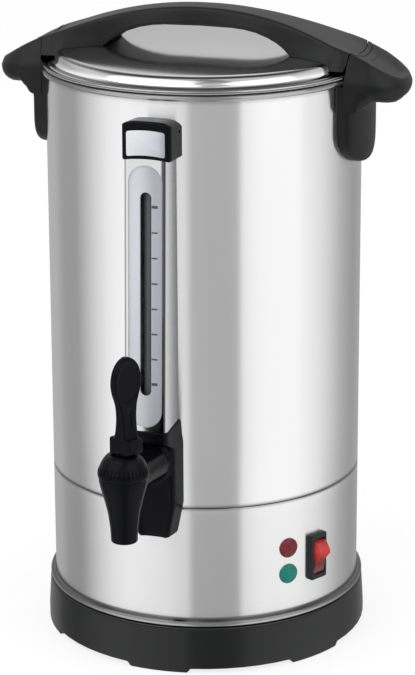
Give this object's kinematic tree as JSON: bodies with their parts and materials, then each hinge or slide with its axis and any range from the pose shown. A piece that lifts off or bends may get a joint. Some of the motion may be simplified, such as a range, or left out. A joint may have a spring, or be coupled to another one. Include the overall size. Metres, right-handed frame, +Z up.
{
  "type": "hot water urn",
  "caption": "Stainless steel hot water urn with a domed lift-off lid, bridge handle, side handles, level gauge, lever tap, lamps and rocker switch.",
  "frame": {"origin": "axis of the steel body on the plane its feet stand on", "axes": "+Z up, -Y towards the tap and the gauge, +X towards the switch side; the two side handles lie on X"},
  "size_m": [0.2668, 0.2967, 0.41],
  "materials": {
    "polished_steel": "polished stainless steel with a fine upright grain",
    "bright_steel": "bright polished steel",
    "plain_steel": "plain zinc plated or stainless steel",
    "grey_steel": "grey pressed sheet",
    "black_plastic": "black moulded plastic, satin gloss",
    "base_plastic": "black moulded plastic",
    "silver_plate": "satin silver plate, blank",
    "scale_lilac": "pale lilac grey plate with plain marks",
    "clear_tube": "clear tube",
    "dark_rubber": "dark rubber",
    "silicone": "translucent silicone",
    "white_plastic": "white moulded plastic",
    "aluminium_plate": "cast aluminium",
    "element_sheath": "heat tinted sheath",
    "ceramic_body": "ivory ceramic",
    "wire_sleeve": "silicone sleeved wire",
    "rocker_red": "glossy red rocker",
    "brass_blade": "brass blades",
    "lens_red": "dark red lens",
    "lens_green": "green lens"
  },
  "bodies": {
    "urn": {"tank": "polished_steel", "lower_housing": "polished_steel", "base_ring": "base_plastic", "base_cover": "grey_steel", "base_screws": "plain_steel", "left_handle": "black_plastic", "right_handle": "black_plastic", "handle_screws": "plain_steel", "handle_washers": "silicone", "gauge_cover": "bright_steel", "scale_plate": "scale_lilac", "sight_tube": "clear_tube", "tube_grommets": "dark_rubber", "gauge_elbow": "white_plastic", "gauge_seal": "silicone", "gauge_nut": "plain_steel", "gauge_cap": "black_plastic", "badge_plate": "silver_plate", "cap_screw": "plain_steel", "tap_block": "black_plastic", "tap_body": "black_plastic", "tap_seal": "silicone", "tap_nut": "plain_steel", "bonnet": "black_plastic", "tap_spring": "plain_steel", "heater_plate": "aluminium_plate", "heating_element": "element_sheath", "heater_nut": "plain_steel", "boil_thermostat": "ceramic_body", "warm_thermostat": "ceramic_body", "thermal_cutout": "ceramic_body", "control_screws": "plain_steel", "terminal_block": "ceramic_body", "wiring": "wire_sleeve", "cord_gland": "base_plastic", "gland_nut": "base_plastic", "switch_housing": "black_plastic", "switch_terminals": "brass_blade", "lamp_bodies": "black_plastic", "lamp_clips": "plain_steel", "red_lens": "lens_red", "green_lens": "lens_green"},
    "seal": {"lid_seal": "silicone"},
    "lid": {"lid_shell": "polished_steel", "lid_handle": "black_plastic", "lid_screws": "plain_steel"},
    "valve": {"tap_stem": "white_plastic", "seat_cup": "silicone", "lever_pin": "plain_steel"},
    "lever": {"tap_lever": "black_plastic"},
    "rocker": {"switch_rocker": "rocker_red"}
  },
  "joints": [
    {"name": "lid_lift", "type": "slide", "parent": "urn", "child": "seal", "axis": [0, 0, 1], "range_m": [0, 0.12]},
    {"name": "lid_turn", "type": "hinge", "parent": "seal", "child": "lid", "pos_m": [0, 0, 0.3745], "axis": [0, 0, 1], "range_deg": [0, 30]},
    {"name": "valve_lift", "type": "slide", "parent": "urn", "child": "valve", "axis": [0, 0, 1], "range_m": [0, 0.006], "deforming": ["tap_spring"]},
    {"name": "tap_lever", "type": "hinge", "parent": "valve", "child": "lever", "pos_m": [0, -0.165, 0.17], "axis": [0.4695, 0.8829, 0], "range_deg": [0, 30], "stiffness_Nm_per_rad": 0.15, "springref_deg": -28.65},
    {"name": "switch_rocker", "type": "hinge", "parent": "urn", "child": "rocker", "pos_m": [0.08769, -0.04702, 0.0675], "axis": [-0.4726, -0.8813, 0], "range_deg": [0, 28]}
  ],
  "couplings": [
    {"joint": "valve_lift", "follows": "tap_lever", "m_per_rad": 0.0112}
  ]
}
